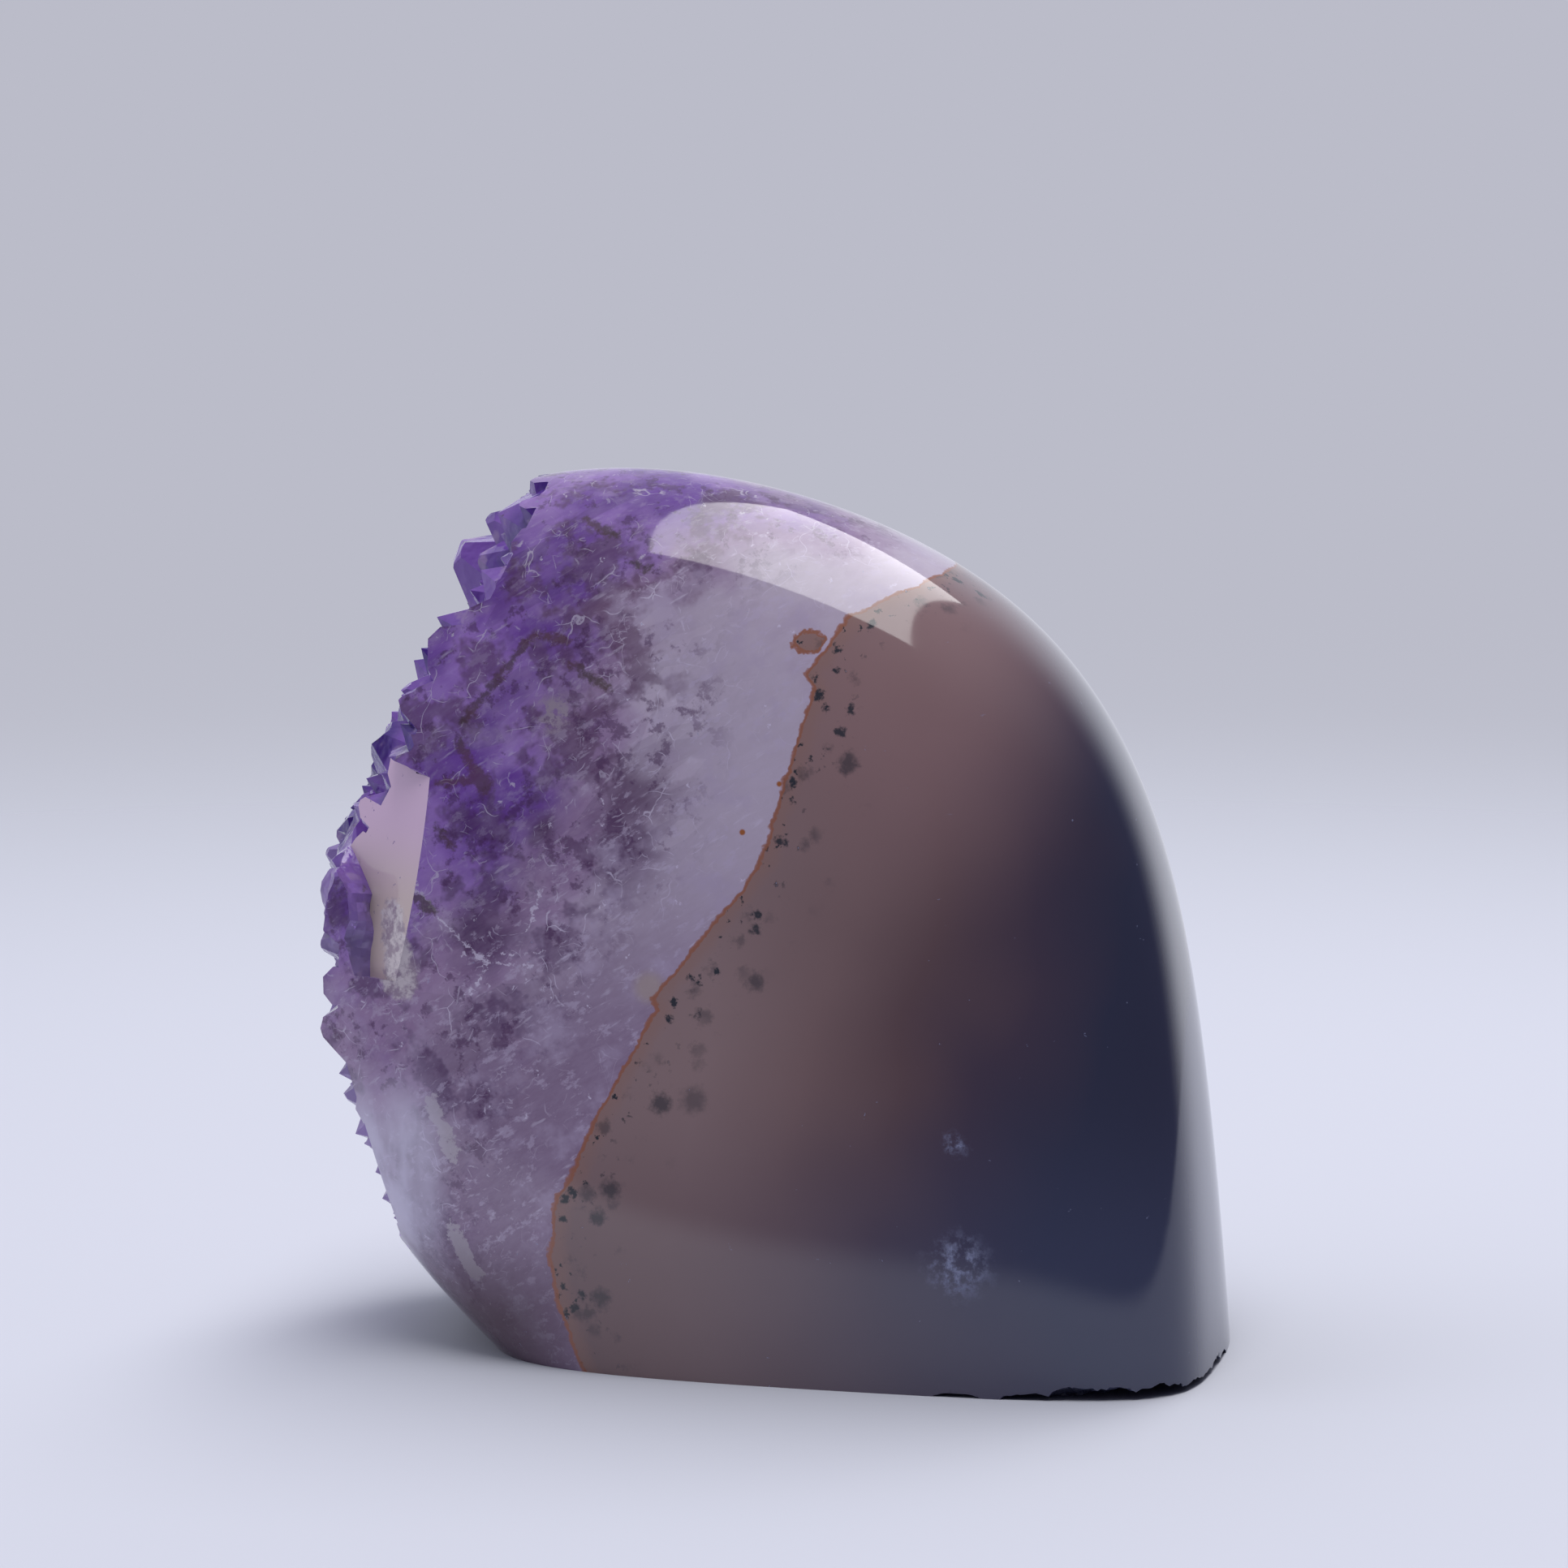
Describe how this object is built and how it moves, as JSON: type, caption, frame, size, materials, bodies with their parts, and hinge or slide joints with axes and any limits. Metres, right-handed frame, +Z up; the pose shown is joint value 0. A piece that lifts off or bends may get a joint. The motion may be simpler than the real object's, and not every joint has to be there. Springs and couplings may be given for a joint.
{
  "type": "amethyst druzy freeform",
  "caption": "Polished freeform of agate and amethyst quartz with a natural crystal druse on one side and a flat sawn base that it stands on.",
  "frame": {"origin": "middle of the stone's outline, on the flat sawn base that it stands on", "axes": "+Z up out of the base; +X along the stone's length, from the druse of crystals to the agate end; -Y towards the broad polished front"},
  "size_m": [0.0747, 0.048, 0.0705],
  "materials": {
    "amethyst_agate": "polished quartz and agate, glassy, with flat crystal faces on the druse and a matt sawn base"
  },
  "bodies": {
    "root": {"amethyst_freeform": "amethyst_agate"}
  },
  "joints": []
}
